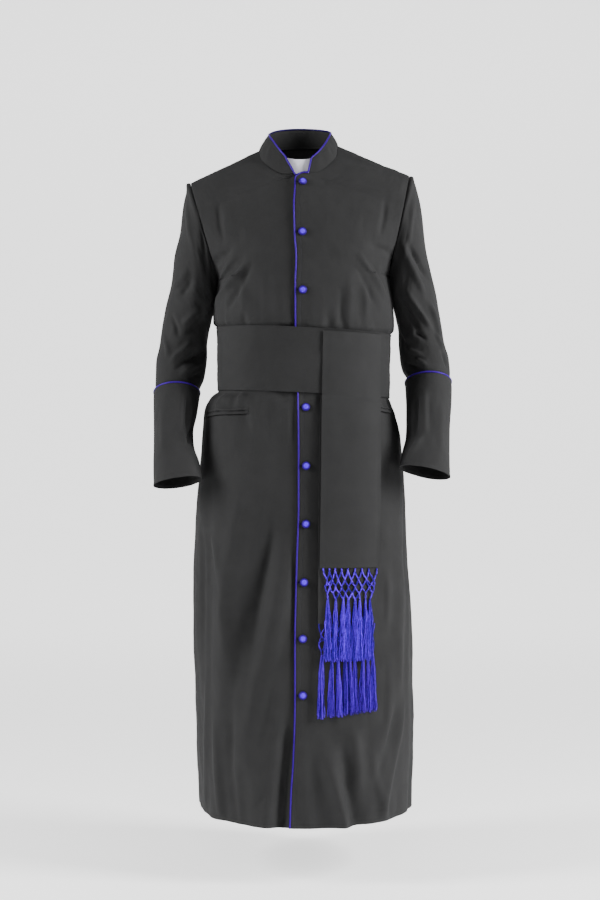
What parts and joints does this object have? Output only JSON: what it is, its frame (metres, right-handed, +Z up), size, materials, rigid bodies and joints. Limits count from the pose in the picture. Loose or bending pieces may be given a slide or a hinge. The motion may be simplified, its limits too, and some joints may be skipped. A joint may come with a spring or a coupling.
{
  "type": "clergy robe",
  "caption": "Full-length charcoal clergy robe with blue piping, covered buttons, stand collar, turned-back cuffs and a waist band with fringed falls, hollow as worn.",
  "frame": {"origin": "middle of the neck at the height where the shoulders meet it, where the wearer holds the robe up", "axes": "+Z up, -Y towards the robe's front, +X towards the wearer's left"},
  "size_m": [0.6556, 0.4311, 1.5059],
  "materials": {
    "robe_cloth": "matte wool twill",
    "band_cloth": "matte ribbed cloth",
    "tab_white": "starched white cloth",
    "piping_blue": "satin-covered cord",
    "button_blue": "satin-covered button",
    "fringe_blue": "knotted silk"
  },
  "bodies": {
    "root": {"front_right": "robe_cloth", "front_left": "robe_cloth", "back_right": "robe_cloth", "back_left": "robe_cloth", "sleeve_right": "robe_cloth", "sleeve_left": "robe_cloth", "cuff_right": "robe_cloth", "cuff_left": "robe_cloth", "collar": "robe_cloth", "pocket_right": "robe_cloth", "pocket_left": "robe_cloth", "cincture_band": "band_cloth", "fall_top": "band_cloth", "fall_under": "band_cloth", "collar_tab": "tab_white", "piping_front": "piping_blue", "piping_collar_right": "piping_blue", "piping_collar_left": "piping_blue", "piping_cuff_right": "piping_blue", "piping_cuff_left": "piping_blue", "button_1": "button_blue", "button_2": "button_blue", "button_3": "button_blue", "button_4": "button_blue", "button_5": "button_blue", "button_6": "button_blue", "button_7": "button_blue", "button_8": "button_blue", "button_9": "button_blue", "fringe_top": "fringe_blue", "fringe_under": "fringe_blue"}
  },
  "joints": []
}
